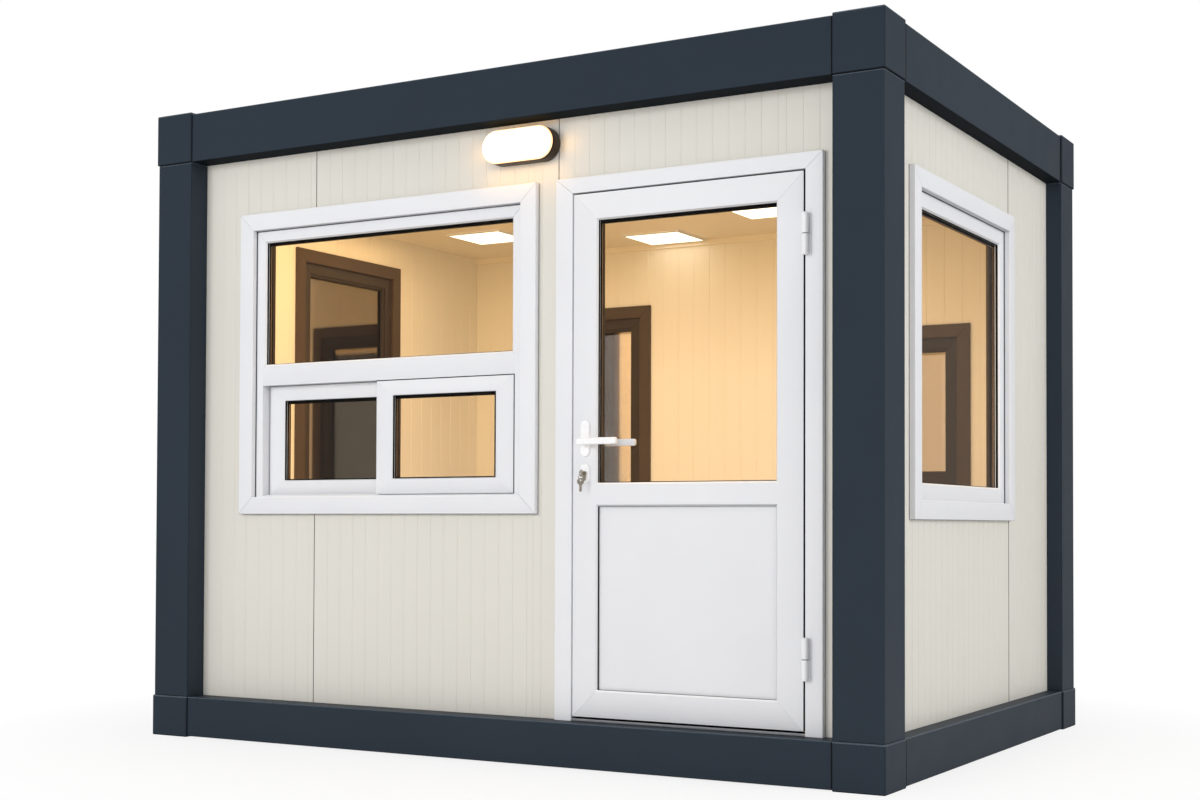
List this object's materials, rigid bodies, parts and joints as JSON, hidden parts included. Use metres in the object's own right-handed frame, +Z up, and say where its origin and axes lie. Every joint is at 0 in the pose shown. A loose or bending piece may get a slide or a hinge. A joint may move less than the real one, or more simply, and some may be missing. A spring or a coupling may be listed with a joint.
{
  "type": "security guard booth",
  "caption": "Steel-framed guard booth with cream panel walls, a glazed white door that swings out, a window with sliding lower sashes, single side and back windows and a wall lamp.",
  "frame": {"origin": "on the ground, under the middle of the booth's outline", "axes": "+Z up, front with the door and the sliding window towards -Y, +X to the right seen from the front"},
  "size_m": [3.24, 2.375, 2.6],
  "materials": {
    "frame_paint": "powder-coated anthracite steel, satin",
    "galvanised": "galvanised steel",
    "floor_vinyl": "vinyl floor on board",
    "wall_skin": "cream coated steel skin, fine ribs",
    "ceiling_skin": "white coated steel skin",
    "lit_opal": "lit opal diffuser",
    "white_profile": "white window and door profile",
    "dark_profile": "dark brown laminated profile",
    "glass": "clear double glazing",
    "spacer": "dark spacer bar",
    "threshold_metal": "pale anodised strip",
    "hinge_white": "white coated hinge",
    "handle_white": "white coated handle",
    "lock_metal": "nickel-plated lock and keys",
    "lamp_bronze": "dark bronze coated housing"
  },
  "bodies": {
    "root": {"bottom_beams_long": "frame_paint", "bottom_beams_short": "frame_paint", "top_beams_long": "frame_paint", "top_beams_short": "frame_paint", "columns": "frame_paint", "bottom_corner_blocks": "frame_paint", "top_corner_blocks": "frame_paint", "floor_joists": "galvanised", "roof_joists": "galvanised", "roof_sheet": "galvanised", "floor_deck": "floor_vinyl", "ceiling_panel": "ceiling_skin", "ceiling_trims": "ceiling_skin", "ceiling_lights": "lit_opal", "front_wall_left": "wall_skin", "front_wall_middle": "wall_skin", "front_wall_door_pier": "wall_skin", "front_wall_over_door": "wall_skin", "front_wall_right": "wall_skin", "side_wall_window_panels": "wall_skin", "side_wall_plain_panels": "wall_skin", "back_wall_plain_panels": "wall_skin", "back_wall_window_panel": "wall_skin", "front_window_casing": "white_profile", "front_window_frame": "white_profile", "sliding_sash_outer": "white_profile", "sliding_sash_inner": "white_profile", "single_window_casings": "white_profile", "single_window_frames": "white_profile", "dark_window_trims": "dark_profile", "front_window_glass": "glass", "single_window_glass": "glass", "window_spacers": "spacer", "door_casing": "white_profile", "door_frame": "white_profile", "threshold": "threshold_metal", "hinge_lower_knuckles": "hinge_white", "wall_lamp_housing": "lamp_bronze", "wall_lamp_diffuser": "lit_opal"},
    "door": {"door_leaf": "white_profile", "door_glass": "glass", "door_glass_spacer": "spacer", "door_lower_panel": "white_profile", "hinge_upper_knuckles": "hinge_white", "handle_plates": "handle_white", "lock_cylinder": "lock_metal", "door_keys": "lock_metal"},
    "lever": {"door_lever": "handle_white"}
  },
  "joints": [
    {"name": "door_hinge", "type": "hinge", "parent": "root", "child": "door", "pos_m": [1.31, -1.1255, 1.1], "axis": [0, 0, 1], "range_deg": [0, 110]},
    {"name": "lever_turn", "type": "hinge", "parent": "door", "child": "lever", "pos_m": [0.437, -1.11, 1.186], "axis": [0, 1, 0], "range_deg": [0, 38], "stiffness_Nm_per_rad": 1.2, "springref_deg": -28.65}
  ]
}
